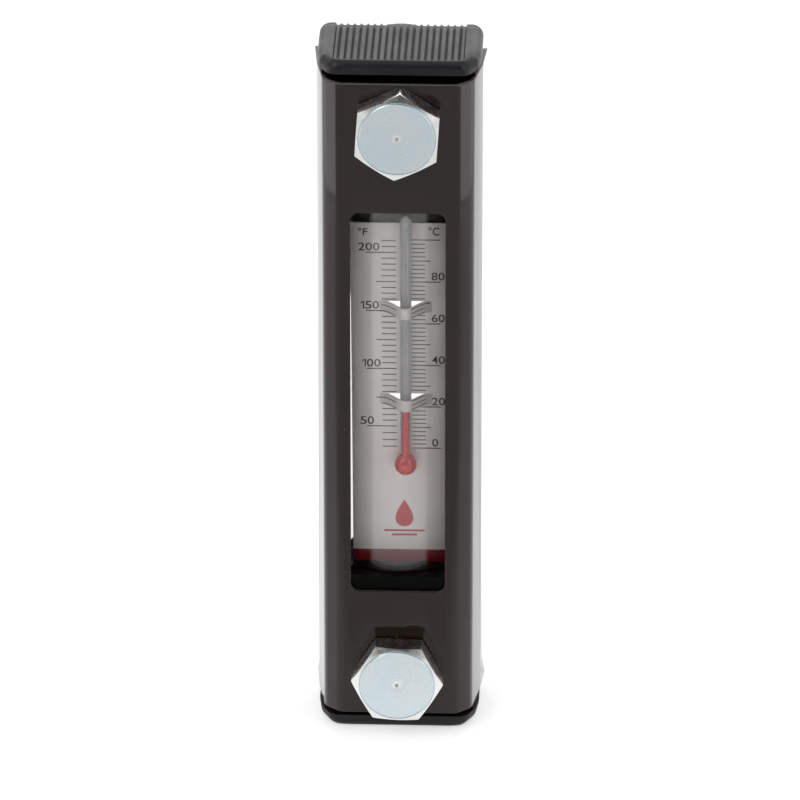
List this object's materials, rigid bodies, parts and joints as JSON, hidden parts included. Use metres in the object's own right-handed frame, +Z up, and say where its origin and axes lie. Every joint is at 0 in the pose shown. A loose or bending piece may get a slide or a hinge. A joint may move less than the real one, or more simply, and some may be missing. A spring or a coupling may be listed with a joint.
{
  "type": "tank level gauge",
  "caption": "Upright oil level gauge: clear sight tube with a thermometer in a folded black channel, ribbed end caps and hollow mounting bolts.",
  "frame": {"origin": "midway between the two bolt axes, on the tank side of the rear seal rings", "axes": "-Y is the front with the scale, +Y runs along both bolts into the tank, +Z is up along the tube"},
  "size_m": [0.0362, 0.0488, 0.1552],
  "materials": {
    "black_sheet": "smooth satin to gloss black stove enamel",
    "black_moulding": "satin moulded polyamide",
    "clear_tube": "clear glossy plastic",
    "seal_rubber": "matt black nitrile rubber",
    "scale_white": "satin white sheet with dark print",
    "scale_red": "satin red print",
    "thermometer_glass": "drawn clear glass",
    "red_spirit": "clear red liquid",
    "zinc_steel": "bright blue-passivated zinc plating"
  },
  "bodies": {
    "root": {"housing_channel": "black_sheet", "upper_end_cap": "black_moulding", "lower_end_cap": "black_moulding", "sight_tube": "clear_tube", "upper_tube_ring": "seal_rubber", "lower_tube_ring": "seal_rubber", "scale_plate": "scale_white", "red_band": "scale_red", "thermometer_glass": "thermometer_glass", "thermometer_liquid": "red_spirit", "upper_hollow_bolt": "zinc_steel", "lower_hollow_bolt": "zinc_steel", "upper_flange_nut": "zinc_steel", "lower_flange_nut": "zinc_steel", "upper_seal_ring": "seal_rubber", "lower_seal_ring": "seal_rubber", "upper_front_ring": "seal_rubber", "lower_front_ring": "seal_rubber"}
  },
  "joints": []
}
